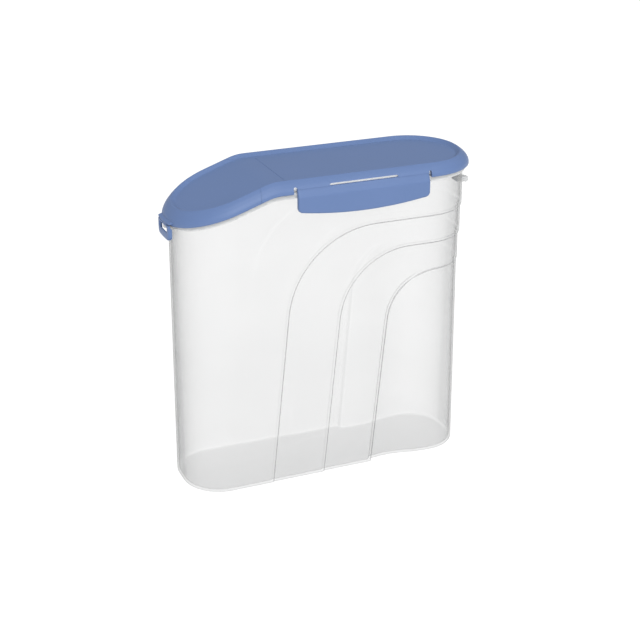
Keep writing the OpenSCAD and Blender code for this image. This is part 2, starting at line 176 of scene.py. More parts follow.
def points(x, y, z):
    """Coordinates that are spread to one shape and joined to an array of points."""
    return np.stack(np.broadcast_arrays(x, y, z), axis=-1)


def plan(q, end, half, r, inset=0.0):
    """The front half of a rectangle with round corners, seen from above, moved in by inset.
    q runs from 0 to 5: half of the left end, a corner, the side, a corner, half of the right end.
    Each corner is centre + (r - inset) * (cos, sin) of a turn that grows by 90 degrees."""
    turn = math.pi * (1 + (np.clip(q - 1, 0, 1) + np.clip(q - 3, 0, 1)) / 2)
    x = (end - r) * (2 * np.clip(q - 2, 0, 1) - 1) + (r - inset) * np.cos(turn)
    y = -(half - r) * (np.clip(q, 0, 1) - np.clip(q - 4, 0, 1)) + (r - inset) * np.sin(turn)
    return x, y


def place_of(x, end, r):
    """The q of plan() at x: the share of the way along the side, plus the turned share of a corner,
    which is arcsin((x - flat) / r) over a right angle."""
    flat = end - r
    right = np.arcsin(np.clip((x - flat) / r, 0, 1)) / (math.pi / 2)
    left = np.arcsin(np.clip((-flat - x) / r, 0, 1)) / (math.pi / 2)
    return 2 + np.clip((x + flat) / (2 * flat), 0, 1) + right - left


def drop(x):
    """How far the mouth and the lid have come down at x: r - sqrt(r^2 - t^2) at t past the start of
    the round bend, and from its end the distance times the slope's tangent more."""
    turned = np.clip(bend_right - x, 0, bend_right - bend_left)
    return bend_r - np.sqrt(bend_r**2 - turned**2) + np.maximum(bend_left - x, 0) * math.tan(slope)


def radius_at(z):
    """Corner radius of the tub's plan at height z, which grows evenly to the mouth."""
    return foot_r + (mouth_r - foot_r) * z / mouth_z


def smooth_step(t):
    """3t^2 - 2t^3 between 0 and 1."""
    t = np.clip(t, 0, 1)
    return t * t * (3 - 2 * t)


def tub_skin(q, z, inset):
    """Points of the tub's side at q and height z, moved in by inset. The half width grows evenly
    with z, as the corner radius does."""
    half = foot_half + (mouth_half - foot_half) * z / mouth_z
    x, y = plan(q, tub_end, half, radius_at(z), inset)
    return points(x, y, z)


def step_line(k, grow):
    """Foot, top and radius of the line that runs along step k at a distance of grow outside it."""
    return np.array([step_foot[k] - grow / math.cos(step_lean), step_top[k] + grow, step_r[k] + grow])


def sweep_line(foot, top, r, low, rise, bend, run):
    """One line of the sweep family as (q, z): up from low with the lean, round an arc of radius r,
    then level to the end. Rise, bend and run are the shares along each stretch."""
    middle = foot + (top - r) * math.tan(step_lean) + r / math.cos(step_lean)
    tangent = top - r + r * math.sin(step_lean)
    z_rise = low + (tangent - low) * rise
    x_rise = foot + z_rise * math.tan(step_lean)
    angle = np.pi - step_lean - (np.pi / 2 - step_lean) * bend
    z_bend = top - r + r * np.sin(angle)
    x_bend = middle + r * np.cos(angle)
    q_start = place_of(middle, tub_end, radius_at(top))
    q_run = q_start + (5 - q_start) * run
    z_part = np.concatenate([z_rise, z_bend])
    x_part = np.concatenate([x_rise, x_bend])
    q_part = place_of(x_part, tub_end, radius_at(z_part))
    return np.concatenate([q_part, q_run]), np.concatenate([z_part, np.full(len(run), top)])


def tub_sheets(inset, low, soft=1.0):
    """The front half of the tub's skin as three grids that share their edges, and how strongly each
    point carries the painted shade of a step's edge. Then the q, depth and mark along the foot,
    and the q along the mouth. Left of the steps the grid is square; from the first step on, its
    lines follow the steps.
    Across a step, at g from its middle, the depth is a smooth_step and the mark is
    1 - (g / half)^2. Soft widens the steps."""
    rise = np.linspace(0, 1, 26)
    bend = np.linspace(0, 1, 22)[1:]
    run = np.linspace(0, 1, 34)[1:]
    offsets = np.array([0.9, 0.55, 0.36, 0.18, 0.0, -0.18, -0.36, -0.55, -0.9])
    lines, steps = [], []
    for k in range(3):
        wide = soft * step_wide[k]
        for g in offsets * wide:
            share = smooth_step((ramp_half * wide - g) / (2 * ramp_half * wide))
            shade = step_shade[k] * max(0.0, 1 - (g / (shade_half * wide)) ** 2)
            lines.append(step_line(k, g + inset))
            steps.append((k, share, shade))
        if k < 2:
            last, first = lines[-1], step_line(k + 1, offsets[0] * soft * step_wide[k + 1] + inset)
            for w in (0.2, 0.4, 0.6, 0.8):
                lines.append(last + (first - last) * w)
                steps.append((k, 1.0, 0.0))
    q, z = np.array([sweep_line(*line, low, rise, bend, run) for line in lines]).transpose(1, 0, 2)

    # inside the third line, scaled copies of it that close in on the right end's foot
    w = np.linspace(0, 1, 44)[1:, None]
    q_in = q[-1] + (5 - q[-1]) * w
    z_in = low + (z[-1] - low) * (1 - w)
    q_all, z_all = np.concatenate([q, q_in]), np.concatenate([z, z_in])

    # depth: each step's share of it. The third grows smoothly into the scoop, whose depth is an arc
    # along x, less a fade with the height: where that is a over the step's own depth, it adds
    # (a + sqrt(a^2 + blend)) / 2 - cut
    k, share, mark = np.array(steps + [(3, 1.0, 0.0)] * len(w)).T[:, :, None]
    x_all, _ = plan(q_all, tub_end, mouth_half, radius_at(z_all))
    off = np.clip(x_all - scoop_x, -scoop_reach, scoop_reach)
    over = scoop_depth - scoop_fade * z_all - scoop_r + np.sqrt(scoop_r**2 - off**2) - step_depth[2]
    third = step_depth[2] + np.maximum((over + np.sqrt(over**2 + scoop_blend)) / 2 - scoop_cut, 0)
    depth = sum(deep * np.where(k == j, share, k > j) for j, deep in enumerate([*step_depth[:2], third]))
    behind = tub_skin(q_all, z_all, depth + inset)
    mark = mark + 0 * q_all

    # left of the first line: upright columns from the foot to the mouth
    n_rise = len(rise)
    q_first, z_first = q[0], z[0]
    columns = np.concatenate([np.linspace(0, 1, 5), np.linspace(1, 2, 19)[1:],
                              2 + (q_first[0] - 2) * np.linspace(0, 1, 6)[1:]]) / q_first[0]
    up = np.linspace(0, 1, 14)
    q_edge = np.concatenate([q_first[:n_rise], np.full(len(up) - 1, q_first[n_rise - 1])])
    q_left = columns[None, :] * q_edge[:, None]
    x_top, _ = plan(columns * q_first[n_rise - 1], tub_end, mouth_half, mouth_r)
    z_top = mouth_z - tub_wall / 2 - drop(x_top)
    z_low = np.repeat(z_first[:n_rise, None], len(columns), axis=1)
    z_up = z_first[n_rise - 1] + (z_top[None, :] - z_first[n_rise - 1]) * up[1:, None]
    left = tub_skin(q_left, np.concatenate([z_low, z_up]), inset)

    # above the first line: its bend and level run carried up to the mouth
    q_over = np.repeat(q_first[None, n_rise - 1 :], len(up), axis=0)
    x_over, _ = plan(q_over[0], tub_end, mouth_half, mouth_r)
    z_line = mouth_z - tub_wall / 2 - drop(x_over)
    z_over = z_first[n_rise - 1 :] + (z_line - z_first[n_rise - 1 :]) * up[:, None]
    above = tub_skin(q_over, z_over, inset)

    foot_q = np.concatenate([q_left[0], q_all[1:, 0]])
    foot_in = np.concatenate([np.zeros(len(columns)), depth[1:, 0]])
    foot_mark = np.concatenate([np.zeros(len(columns)), mark[1:, 0]])
    mouth_q = np.concatenate([q_left[-1], q_over[-1][1:]])
    sheets = [behind, left, above]
    marks = [mark, 0 * left[..., 0], 0 * above[..., 0]]
    return sheets, marks, foot_q, foot_in, foot_mark, mouth_q


def both(parts):
    """The parts and their mirror images across the middle of the width."""
    return parts + [p * np.array([1, -1, 1]) for p in parts]


same_place = 2e-6  # metres
sharp_turn, bevelled_turn = math.radians(40), math.radians(50)


def make(name, parts, material, bevel=0.0, marks=None):
    """Welds parts into one closed mesh in metres, with its faces outward. A part of three
    dimensions is a grid of points, and one of two dimensions is the outline of a flat face.
    Marks gives the first parts' points a value in a point attribute: the strength of the painted
    shade along the steps' edges. The rest get 0.
    Bevel is the width, in mm, that rounds edges which turn by more than bevelled_turn."""
    corners, faces, count = [], [], 0
    for part in parts:
        flat = part.reshape(-1, 3)
        corners.append(flat)
        if part.ndim == 3:
            n, m = part.shape[:2]
            a = (np.arange(n - 1)[:, None] * m + np.arange(m - 1)[None, :]).ravel() + count
            faces += np.stack([a, a + 1, a + m + 1, a + m], axis=1).tolist()
        else:
            faces.append(list(range(count, count + len(flat))))
        count += len(flat)
    at = np.concatenate(corners) + np.array([tub_x, 0, 0])
    mesh = bpy.data.meshes.new(name)
    mesh.from_pydata((at / 1000).tolist(), [], faces)
    if marks:
        values = np.zeros(len(at), np.float32)
        known = np.concatenate([m.ravel() for m in marks])
        values[: len(known)] = known
        mesh.attributes.new("step_edge_shade", "FLOAT", "POINT").data.foreach_set("value", values)
    bm = bmesh.new()
    bm.from_mesh(mesh)
    bmesh.ops.remove_doubles(bm, verts=bm.verts, dist=same_place)
    bmesh.ops.dissolve_degenerate(bm, edges=bm.edges, dist=same_place / 2)
    bmesh.ops.recalc_face_normals(bm, faces=bm.faces)
    bm.to_mesh(mesh)
    bm.free()
    mesh.shade_smooth()
    mesh.set_sharp_from_angle(angle=sharp_turn)
    mesh.materials.append(material)
    obj = bpy.data.objects.new(name, mesh)
    scene.collection.objects.link(obj)
    if bevel:
        soft = obj.modifiers.new("soft_edges", "BEVEL")
        soft.width = bevel / 1000
        soft.segments = 2
        soft.limit_method = "ANGLE"
        soft.angle_limit = bevelled_turn
        soft.harden_normals = True
    return obj


def soften(line, radii, steps=5):
    """An open line of [distance in, height] points with each inner corner turned into the curve
    (1 - s)^2 a + 2 s (1 - s) corner + s^2 b, where a and b lie r tan(turn / 2) from the corner."""
    line = np.array(line, float)
    out = [line[0][None]]
    for before, corner, after, r in zip(line[:-2], line[1:-1], line[2:], radii):
        to_before, to_after = before - corner, after - corner
        n_b, n_a = np.linalg.norm(to_before), np.linalg.norm(to_after)
        cosine = np.dot(to_before, to_after) / (n_b * n_a)
        turn = math.pi - math.acos(np.clip(cosine, -1, 1))
        t = min(r * math.tan(turn / 2), 0.49 * n_b, 0.49 * n_a)
        s = np.linspace(0, 1, steps + 1)[:, None]
        a, b = corner + to_before / n_b * t, corner + to_after / n_a * t
        out.append((1 - s) ** 2 * a + 2 * s * (1 - s) * corner + s * s * b)
    return np.concatenate(out + [line[-1][None]])


def ring_points(q, section, end, half, r, x_shift=0.0):
    """Carries a section of [distance in, height] points along plan(), down by drop() at each point.
    There is one section for all stations, or one for each."""
    x, y = plan(q[:, None], end, half, r, section[..., 0])
    x = x + x_shift
    return points(x, y, section[..., 1] - drop(x))


def foot_turn(q, depth, r, low, inset):
    """The rounding between side and floor: inset r(1 - cos t) at height r(1 - sin t)."""
    t = np.linspace(0, np.pi / 2, 7)[:, None]
    half = foot_half + (mouth_half - foot_half) * (low + r) / mouth_z
    x, y = plan(q, tub_end, half, radius_at(low + r), inset + depth + r * (1 - np.cos(t)))
    return points(x, y, low + r * (1 - np.sin(t)))


outer_sheets, outer_marks, foot_q, foot_in, foot_mark, mouth_q = tub_sheets(0.0, foot_round)
outer_foot = foot_turn(foot_q, foot_in, foot_round, 0.0, 0.0)
inner_sheets, _, inner_foot_q, inner_foot_in, _, inner_q = tub_sheets(
    tub_wall, tub_floor + inner_round, inner_soft)
inner_foot = foot_turn(inner_foot_q, inner_foot_in, inner_round, tub_floor, tub_wall)


def floor_face(line):
    """The flat face inside a half outline and its mirror image."""
    back = line[-2:0:-1] * np.array([1, -1, 1])
    return np.concatenate([line, back])


def mouth_lip():
    """The rounded edge of the mouth: a half circle from the outer skin, t = 0, to the inner one, t = pi."""
    t = np.linspace(0, np.pi, 7)[:, None]
    q = mouth_q + (inner_q - mouth_q) * (1 - np.cos(t)) / 2
    x, _ = plan(q, tub_end, mouth_half, mouth_r)
    z = mouth_z - tub_wall / 2 * (1 - np.sin(t)) - drop(x)
    return tub_skin(q, z, tub_wall / 2 * (1 - np.cos(t)))


def tube(rows):
    """A closed band through rows of points, with a flat face at either end."""
    return [np.concatenate([rows, rows[:, :1]], axis=1), rows[0], rows[-1]]


# The collar under the lid's rim, and the bead that rises from it round the mouth, as points of
# [distance in, height]
edge_line = soften([(-2.2, 248.3), (-2.2, 250.5), (-0.06, 250.5), (-0.06, 254.32), (1.46, 254.32),
                    (1.2, 246.1), (-2.2, 246.1), (-2.2, 248.3)], [0.6, 0.4, 0.7, 0.7, 0.3, 0.6], steps=4)
edge_ring = ring_points(mouth_q, edge_line, tub_end, mouth_half, mouth_r)
lug_root = -0.7


def lug(side, reach, top, taper, thick, width=9.0):
    """A tongue that ends in a half circle (r cos a, r sin a) and comes down by taper to its tip:
    rings round its outline, one above the other, that round its edges over 0.5 mm."""
    a = np.linspace(-np.pi / 2, np.pi / 2, 19)
    low_edge = [(0, 0.5), (0.15, 0.15), (0.5, 0)]
    rings = []
    for lift, inset in low_edge + [(thick - lift, inset) for lift, inset in low_edge[::-1]]:
        r = width / 2 - inset
        x = np.concatenate([[lug_root], reach - width / 2 + r * np.cos(a), [lug_root]])
        y = np.concatenate([[-r], r * np.sin(a), [r]])
        z = top - thick + lift - taper * np.clip(x, 0, None) / reach
        rings.append(points(side * (tub_end + x), y, z))
    return tube(np.array(rings))


# Natural polypropylene off a satin mould. It takes a little of the light on the way through, so
# it covers 1 - clear^path: the path is 1 face on and cosine^-1.7 at a slant. Along each step's
# edge, where the outer skin is seen from outside, the path is made far longer and the colour
# darker: a painted shade line. The floor's clearness turns into the wall's between two heights in metres.
# The wall has a slight haze, and the grain is drawn coarser than the mould's, so that it shows.
haze_mm, grain_mm = 45.45, 0.7143
floor_clear, wall_clear_most, wall_clear_least = 0.945, 0.948, 0.935
floor_height, wall_height = 0.0019, 0.009
slant_power, painted_shade_path, edge_on = -1.7, 16.0, 0.1
milky, tree = new_material("natural_polypropylene_satin_moulded")
where = add_node(tree, "ShaderNodeTexCoord")
haze = add_node(tree, "ShaderNodeTexNoise",
                {"Vector": where.outputs["Object"], "Scale": 1000 / haze_mm, "Detail": 2.0})
grazing = add_node(tree, "ShaderNodeLayerWeight", {"Blend": 0.5})
cosine = add_node(tree, "ShaderNodeMapRange",
                  {"Value": grazing.outputs["Facing"], "To Min": 1.0, "To Max": edge_on})
path = add_node(tree, "ShaderNodeMath", {0: cosine.outputs[0], 1: slant_power}, operation="POWER")
# Painted shade: the step edges' mark, kept only where the outer skin is seen from outside
step_shade_mask = add_node(tree, "ShaderNodeAttribute", attribute_name="step_edge_shade")
outside = add_node(tree, "ShaderNodeNewGeometry")
step = add_node(tree, "ShaderNodeMath", {0: step_shade_mask.outputs["Fac"], 1: outside.outputs["Backfacing"]},
                operation="SUBTRACT", use_clamp=True)
longer = add_node(tree, "ShaderNodeMath", {0: step.outputs[0], 1: painted_shade_path, 2: path.outputs[0]},
                  operation="MULTIPLY_ADD")
wall_clear = add_node(tree, "ShaderNodeMapRange",
                      {"Value": haze.outputs["Fac"], "To Min": wall_clear_most, "To Max": wall_clear_least})
height = add_node(tree, "ShaderNodeSeparateXYZ", {0: where.outputs["Object"]})
clear = add_node(tree, "ShaderNodeMapRange",
                 {"Value": height.outputs["Z"], "From Min": floor_height, "From Max": wall_height,
                  "To Min": floor_clear, "To Max": wall_clear.outputs[0]})
left_over = add_node(tree, "ShaderNodeMath", {0: clear.outputs[0], 1: longer.outputs[0]}, operation="POWER")
cover = add_node(tree, "ShaderNodeMath", {0: 1.0, 1: left_over.outputs[0]}, operation="SUBTRACT")
# The milk colour, which darkens to #727475 under the painted step shade
milk_and_step_shade = add_node(tree, "ShaderNodeMix", {"Factor": step.outputs[0]}, data_type="RGBA")
milk_and_step_shade.inputs[6].default_value = linear("#8c8d8d")
milk_and_step_shade.inputs[7].default_value = linear("#727475")
grain = add_node(tree, "ShaderNodeTexNoise",
                 {"Vector": where.outputs["Object"], "Scale": 1000 / grain_mm, "Detail": 3.0})
relief = add_node(tree, "ShaderNodeBump",
                  {"Height": grain.outputs["Fac"], "Strength": 0.12, "Distance": 0.0003})
sheen = add_node(tree, "ShaderNodeMapRange", {"Value": haze.outputs["Fac"], "To Min": 0.26, "To Max": 0.36})
shader = add_node(tree, "ShaderNodeBsdfPrincipled",
                  {"Base Color": milk_and_step_shade.outputs[2], "Roughness": sheen.outputs[0], "IOR": 1.49,
                   "Alpha": cover.outputs[0], "Normal": relief.outputs[0]})
show(tree, shader.outputs[0])

outer_marks.append(foot_mark + 0 * outer_foot[..., 0])
tub_parts = both(outer_sheets + [outer_foot]) + both(inner_sheets + [inner_foot, mouth_lip()])
tub_parts += [floor_face(outer_foot[-1]), floor_face(inner_foot[-1])]
tub = make("Tub", tub_parts, milky, marks=outer_marks * 2)
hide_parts("tub")
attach(tub, "tub")

# The same polypropylene where it is thick: the collar and the bead round the mouth, and the two
# lugs, look pale and waxy because light scatters inside them. The top of the bead under the lid
# has a painted glow: an emission of its own colour that grows with the height.
wax_mm = 16.67
scatter, bead_low, bead_top = 0.004, 0.2512, 0.2535  # metres
waxy, tree = new_material("natural_polypropylene_thick_moulded")
where = add_node(tree, "ShaderNodeTexCoord")
haze = add_node(tree, "ShaderNodeTexNoise",
                {"Vector": where.outputs["Object"], "Scale": 1000 / wax_mm, "Detail": 2.0})
wax = add_node(tree, "ShaderNodeMix", {"Factor": haze.outputs["Fac"]}, data_type="RGBA")
wax.inputs[6].default_value = linear("#bfc0c1")
wax.inputs[7].default_value = linear("#c8c9c9")
sheen = add_node(tree, "ShaderNodeMapRange", {"Value": haze.outputs["Fac"], "To Min": 0.28, "To Max": 0.38})
height = add_node(tree, "ShaderNodeSeparateXYZ", {0: where.outputs["Object"]})
# Painted glow: no emission at bead_low, full at bead_top
painted_glow = add_node(tree, "ShaderNodeMapRange",
                   {"Value": height.outputs["Z"], "From Min": bead_low, "From Max": bead_top})
shader = add_node(tree, "ShaderNodeBsdfPrincipled",
                  {"Base Color": wax.outputs[2], "Roughness": sheen.outputs[0], "IOR": 1.49,
                   "Subsurface Weight": 0.9, "Subsurface Radius": (1, 1, 1), "Subsurface Scale": scatter,
                   "Emission Color": wax.outputs[2], "Emission Strength": painted_glow.outputs[0]})
show(tree, shader.outputs[0])
lugs = lug(1, 11.5, 232.4, 1.6, 4.0) + lug(-1, 6.2, 223.5, 0.0, 2.6)
tub_edge = make("TubEdge", both([edge_ring]) + lugs, waxy)
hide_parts("tub")
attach(tub_edge, "tub")

# ---------------------------------------------------------------- lid
# One blue polypropylene moulding in all, folded where it moves. This is its level part: a rim
# that leans in over the tub's edge, a recessed deck, a plug skirt and cut-outs for the clips.
rim_end, rim_half, rim_r = 128.2, 48.0, 46.5
rim_top, rim_low = 260.0, 250.2
rim_slope, rim_bulge = 0.694, 2.0
seat_z, deck_z, deck_under = 254.6, 257.4, 255.8
# Distances in from the rim's lower edge: the skirt's inner edge and the end of the hollow behind
# it, the ridge's top and foot, the deck's edge, and where the underside steps up from the seat to
# the deck's. Where the skirt is cut open, its wall is open_t thick and the hollow ends further in.
skirt_in_at, hollow_at, open_t, open_hollow_at = 1.8, 4.6, 0.7, 4.75
ridge_out, ridge_in, ridge_foot, deck_edge, seat_end = 6.8, 7.94, 11.05, 13.5, 7.75
plug_out, plug_in, plug_low, plug_start = 6.6, 7.8, 247.3, -38.3
# The flap's fold, the leaning cut across the rim, and the seam from one to the other
fold_x, cut_x, cut_lean, cut_fade = -41.3, -64.0, math.radians(11), 12
lid_fold = fold_x + 0.18
seam_fold, seam_cut, seam_gap = 32.0, 39.9, 0.14
# The opening in the skirt, the clip in it with a notch at either end, and the slot in its fold
skirt_left, skirt_right = -39.7, 77.1
clip_left, clip_right = -36.7, 75.1
slot_left, slot_right, slot_r = -9.6, 48.0, 0.9
notch_top, hinge_z, web_edge = 255.4, 254.4, 255.0
cross_half, cross_t, cross_top = 40.8, 1.2, 256.0
deck_cells, corner_steps, past_end = 8, 20, 100.0
tick, sliver = 1e-4, 0.01


def face_at(z):
    """Distance in from the rim's lower edge of its leaning outer face at height z: a straight lean
    less a bulge that is 0 at both edges, 4 b t (1 - t)."""
    t = np.clip((z - rim_low) / (rim_top - rim_low), 0, 1)
    return (z - rim_low) * rim_slope - 4 * rim_bulge * t * (1 - t)


def gap_top(x, left, right, top):
    """Height of a round-topped gap between left and right: top - r + sqrt(r^2 - offset^2)."""
    r = (right - left) / 2
    return top - r + math.sqrt(max(r * r - (x - (left + right) / 2) ** 2, 0))


def skirt_edge(x):
    """Heights of the rim's outer and inner lower edges at x, on a side that carries a clip: a round
    notch at either end, the slot's half circle sqrt(r^2 - offset^2), and the web's edge between."""
    if x < skirt_left or x > skirt_right:
        return rim_low, rim_low
    if x < clip_left or x > clip_right:
        ends = (skirt_left, clip_left) if x < clip_left else (clip_right, skirt_right)
        top = gap_top(x, *ends, notch_top)
        inner = (x > (ends[0] + ends[1]) / 2) == (x < clip_left)
        return (max(top, web_edge) if inner else top), max(top, seat_z)
    nearest = np.clip(x, slot_left + slot_r, slot_right - slot_r)
    rise = slot_r**2 - (x - nearest) ** 2
    top = hinge_z + math.sqrt(rise) if rise > 0 else 0
    return max(top, web_edge), max(top, seat_z)


def rim_section(edges, plug):
    """The rim's section from the deck's top over the ridge and round the skirt to the deck's
    underside, as [distance in, height] points with softened corners, for a skirt that ends at
    edges and a plug (outer, inner, low)."""
    out_z, in_z = edges
    opened = out_z > rim_low
    skirt_in = (face_at(out_z) + open_t, in_z) if opened else (skirt_in_at, rim_low)
    hollow = (max(open_hollow_at, skirt_in[0] + 0.1), in_z) if opened else (hollow_at, seat_z)
    seat = in_z if opened else seat_z
    face = [(face_at(z), z) for z in (out_z + (rim_top - out_z) * np.array([0.78, 0.52, 0.26]))]
    return soften(
        [(deck_edge, deck_z), (ridge_foot, deck_z), (ridge_in, rim_top), (ridge_out, rim_top), *face,
         (face_at(out_z), out_z), skirt_in, hollow, (plug[0], seat), (plug[0], plug[2]),
         (plug[1], plug[2]), (plug[1], deck_under), (deck_edge, deck_under)],
        [2.0, 1.35, 1.2, 4, 4, 4, 0.4, 0.3, 0.1, 0.1, 0.4, 0.4, 0.3])


# The top of a section is its first point and the seven softened corners, of six points each, that
# end with the skirt's outer edge
top_points = 1 + 7 * 6


def trim(section, least, most):
    """A section kept between two distances in. A point beyond them moves to the limit, and takes the
    height that the top or the underside has there, so that the cut edge closes up."""
    d, z = section[:, 0], section[:, 1]
    upper = section[:top_points][np.argsort(section[:top_points, 0])]
    kept = np.clip(d, least, most)
    top = np.arange(len(d)) < top_points
    under = np.where(kept < seat_end, seat_z, deck_under)
    beyond = np.where(top, np.interp(kept, upper[:, 0], upper[:, 1]), under)
    return np.stack([kept, np.where(kept != d, beyond, z)], axis=1)


def seam_at(x):
    """Distance in from the rim's edge to the seam beside the flap's panel, which runs straight from
    the cut to the fold."""
    return rim_half - (seam_cut + (seam_fold - seam_cut) * np.clip((x - cut_x) / (fold_x - cut_x), 0, 1))


def cut_shift(x, section):
    """How far each point moves along x so that the rim's cut leans: its height under the rim's top
    times the lean's tangent, fading out evenly to either side."""
    fade = np.clip(1 - abs(x - cut_x) / cut_fade, 0, 1)
    return fade * (section[:, 1] - drop(cut_x) - rim_top) * math.tan(cut_lean)


def rim_ring(q, x, section_at):
    """Carries the rim's section round the plan, with one section for each station's q and x."""
    sections = [section_at(station) for station in x]
    shifts = [cut_shift(station, section) for station, section in zip(x, sections)]
    return ring_points(q, np.array(sections), rim_end, rim_half, rim_r, np.array(shifts))


def deck_rows(start, cells):
    """Straight rows from points on the ring to the middle of the width, split at the given shares."""
    end = start * np.array([1, 0, 1])
    return start[:, None] + (end - start)[:, None] * cells[None, :, None]


# Stations along the side, close together where the outline turns, with a pair at each jump
zone_x = np.concatenate([[cut_x], np.linspace(-61.1, -48.1, 8), [-46, -44]])
notch_turn = (1 - np.cos(np.linspace(0, np.pi, 13))) / 2
slot_turn = slot_r * (1 - np.cos(np.linspace(0.1, np.pi / 2, 6)))
flat_end = rim_end - rim_r
lid_x = np.sort(np.concatenate([
    zone_x + seam_gap * (zone_x == cut_x), [lid_fold, plug_start - tick, plug_start + tick],
    [skirt_left - tick], skirt_left + tick + (clip_left - skirt_left - tick) * notch_turn,
    [clip_left + tick], np.linspace(clip_left, slot_left, 5)[1:-1], [slot_left - tick],
    slot_left + slot_turn, np.linspace(slot_left + slot_r, slot_right - slot_r, 9)[1:-1],
    slot_right - slot_turn, [slot_right + tick], np.linspace(slot_right, clip_right, 5)[1:-1],
    [clip_right - tick], clip_right + (skirt_right - clip_right - tick) * notch_turn,
    [skirt_right + tick, flat_end]]))
n_zone = int(np.sum(lid_x <= lid_fold))
first_cell = (rim_half - seam_fold - seam_gap - deck_edge) / (rim_half - deck_edge)
cells = np.concatenate([[0], np.linspace(first_cell, 1, deck_cells)])
corner = np.linspace(0, 1, corner_steps + 1)[1:]
lid_q = np.concatenate([place_of(lid_x, rim_end, rim_r), 3 + corner, 4 + cells[1:]])


def lid_section(x):
    """The lid's section at x. The plug skirt hangs from plug_start on, and before the fold only the
    rim outside the seam is the lid's."""
    plug = (plug_out, plug_in, plug_low if x > plug_start else seat_z - sliver)
    section = rim_section(skirt_edge(x), plug)
    return trim(section, 0, seam_at(x) - seam_gap) if x <= lid_fold else section


round_end = np.full(len(lid_q) - len(lid_x), past_end)
lid_ring = rim_ring(lid_q, np.concatenate([lid_x, round_end]), lid_section)


def zone_end(ring, k, height):
    """The seam's points beside a zone's stations: on the ring, or further in across the deck."""
    x = ring[:, k, 0]
    y = -np.minimum(rim_half - seam_at(lid_x[:n_zone]) + seam_gap, -ring[:, k, 1])
    z = np.where(y > ring[:, k, 1] + 1e-6, height - drop(x), ring[:, k, 2])
    return points(x, y, z)


def block(low, high):
    """A box between two corners as six flat faces."""
    corners = np.stack(np.meshgrid(*zip(low, high), indexing="ij"), axis=-1).reshape(8, 3)
    sides = ((0, 1, 3, 2), (4, 6, 7, 5), (0, 4, 5, 1), (2, 3, 7, 6), (0, 2, 6, 4), (1, 5, 7, 3))
    return [corners[list(side)] for side in sides]


# The deck's rows start on the ring, but before the fold the lid ends at the seam
zone = lid_ring[:n_zone]
top_end, low_end = zone_end(zone, 0, deck_z), zone_end(zone, -1, deck_under)
full = slice(n_zone - 1, len(lid_x) + corner_steps)
top_rows, low_rows = deck_rows(lid_ring[full, 0], cells), deck_rows(lid_ring[full, -1], cells)
lid_parts = both([
    lid_ring, np.stack([zone[:, 0], top_end], axis=1), np.stack([zone[:, -1], low_end], axis=1),
    np.stack([top_end, low_end], axis=1), top_rows, low_rows,
    np.stack([top_rows[0, 1:], low_rows[0, 1:]], axis=1), lid_ring[0]])
# The wall that closes the plug skirt behind the spout
lid_parts += block((plug_start, -cross_half, plug_low), (plug_start + cross_t, cross_half, cross_top))

# Blue polypropylene off a satin mould: a soft, even sheen, with the slight cloudiness of the dye
# that shows in large plain faces. The grain is drawn coarser than the mould's, so that it shows.
cloud_mm, blue_grain_mm = 33.33, 0.4545
blue, tree = new_material("blue_polypropylene_satin_moulded")
where = add_node(tree, "ShaderNodeTexCoord")
cloud = add_node(tree, "ShaderNodeTexNoise",
                 {"Vector": where.outputs["Object"], "Scale": 1000 / cloud_mm, "Detail": 3.0})
dye = add_node(tree, "ShaderNodeMix", {"Factor": cloud.outputs["Fac"]}, data_type="RGBA")
dye.inputs[6].default_value = linear("#5b729c")
dye.inputs[7].default_value = linear("#6076a1")
grain = add_node(tree, "ShaderNodeTexNoise",
                 {"Vector": where.outputs["Object"], "Scale": 1000 / blue_grain_mm, "Detail": 2.0})
relief = add_node(tree, "ShaderNodeBump",
                  {"Height": grain.outputs["Fac"], "Strength": 0.18, "Distance": 0.0002})
sheen = add_node(tree, "ShaderNodeMapRange", {"Value": cloud.outputs["Fac"], "To Min": 0.38, "To Max": 0.48})
shader = add_node(tree, "ShaderNodeBsdfPrincipled",
                  {"Base Color": dye.outputs[2], "Roughness": sheen.outputs[0], "IOR": 1.49,
                   "Specular IOR Level": 0.3, "Normal": relief.outputs[0]})
show(tree, shader.outputs[0])

moulded_edge = 0.12
lid = make("Lid", lid_parts, blue, bevel=moulded_edge)
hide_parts("lid")
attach(lid, "lid")

# ---------------------------------------------------------------- spout flap
# The sloped end of the same moulding, which folds up to pour: its rim and deck run on from the
# lid's, a low lip sits in the mouth, and a shoulder at the tip carries the latch tab.
flap_fold = fold_x - 0.75
lip_out, lip_in, lip_low = 7.7, 8.9, 251.8
flap_x = np.concatenate([np.linspace(-flat_end, cut_x, 7)[1:] - tick, [cut_x + tick], zone_x[1:-1],
                         [-44, flap_fold]])
even = np.linspace(0, 1, deck_cells + 1)
flap_q = np.concatenate([even, 1 + corner, place_of(flap_x, rim_end, rim_r)])


def flap_section(x):
    """The flap's section at x. The lip hangs up to the cut, and past it the rim outside the seam is
    the lid's."""
    lip = (lip_out, lip_in, lip_low if x < cut_x else deck_under - sliver)
    section = rim_section((rim_low, rim_low), lip)
    return trim(section, seam_at(x), np.inf) if x > cut_x else section


round_end = np.full(len(flap_q) - len(flap_x), -past_end)
flap_ring = rim_ring(flap_q, np.concatenate([round_end, flap_x]), flap_section)
flap_top, flap_low = deck_rows(flap_ring[deck_cells:, 0], even), deck_rows(flap_ring[deck_cells:, -1], even)
fold_edge = np.stack([flap_top[-1], flap_low[-1]], axis=1)

# The latch tab's round face and the axis of its fold, which the shoulder shares
tab_face, tab_r, tab_w = -130.2, 160.0, 27.0
axis_x, axis_z = -128.9, 226.526
shoulder_low = axis_z + 0.2


def on_tab(y, depth, z):
    """A point on the tab's round face: x = face + r - sqrt((r - depth)^2 - y^2)."""
    return points(tab_face + tab_r - np.sqrt((tab_r - depth) ** 2 - y**2), y, z)


